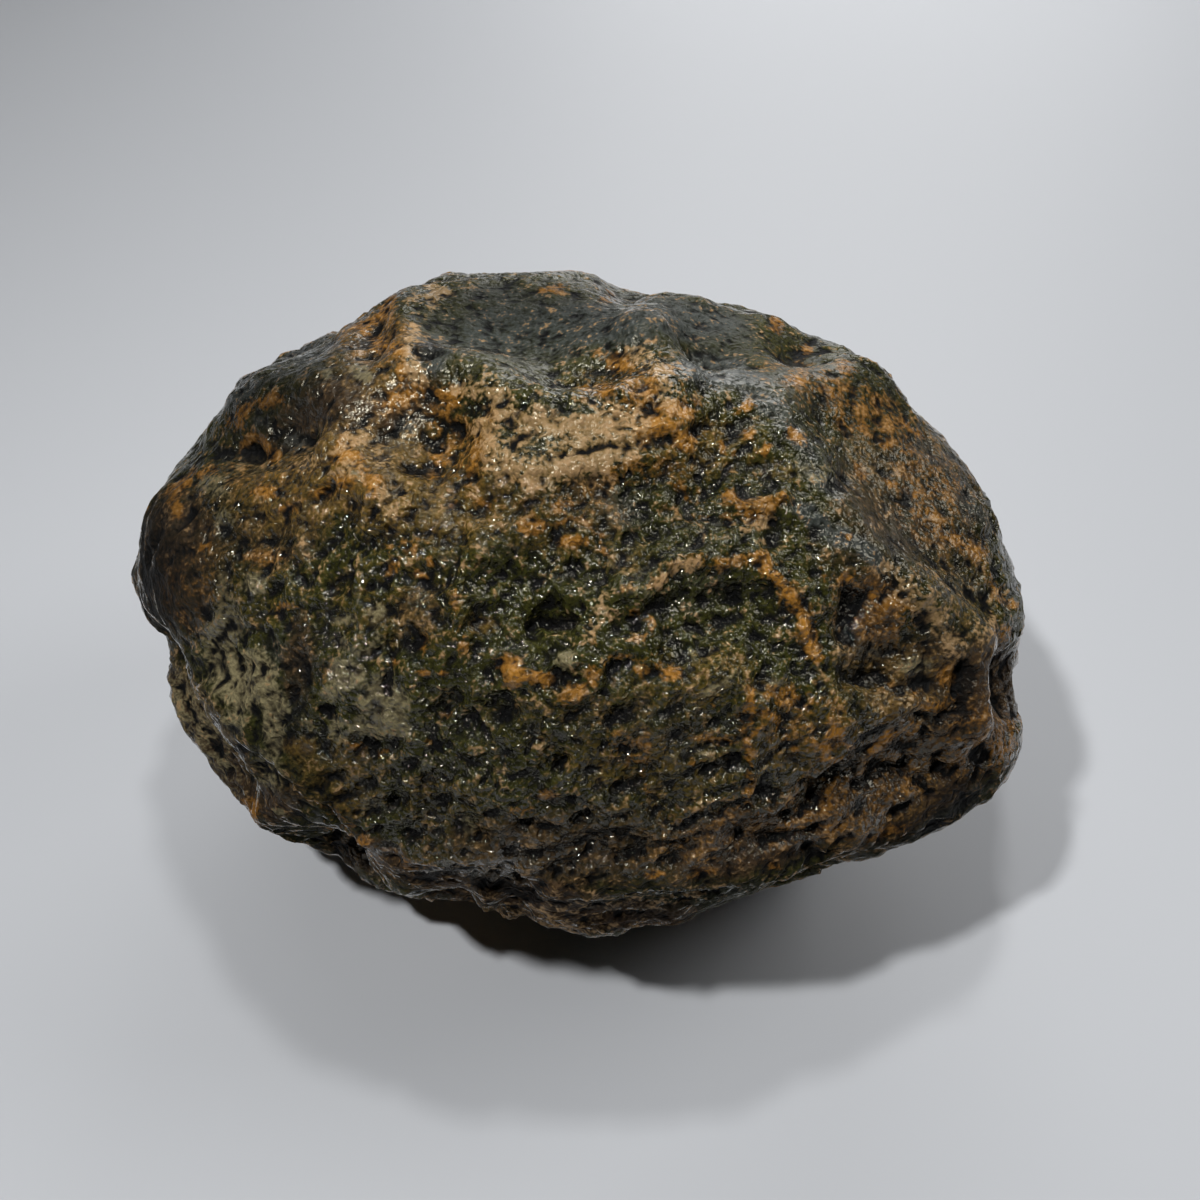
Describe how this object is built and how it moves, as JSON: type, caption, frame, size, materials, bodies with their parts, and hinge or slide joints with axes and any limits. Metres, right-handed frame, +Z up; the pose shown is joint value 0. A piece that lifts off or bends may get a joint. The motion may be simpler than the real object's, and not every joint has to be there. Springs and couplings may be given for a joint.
{
  "type": "unopened geode",
  "caption": "Unopened geode: one closed dark stone with a rust-veined, pitted rind, a shallow basin on top and a lower rim, resting on a small flat spot.",
  "frame": {"origin": "on the ground, below the middle of the stone's box", "axes": "+Z up from the flat spot that it rests on, +X along its length, -Y towards the side with the rust patch"},
  "size_m": [0.172, 0.1356, 0.1237],
  "materials": {
    "rind": "gloss"
  },
  "bodies": {
    "root": {"geode": "rind"}
  },
  "joints": []
}
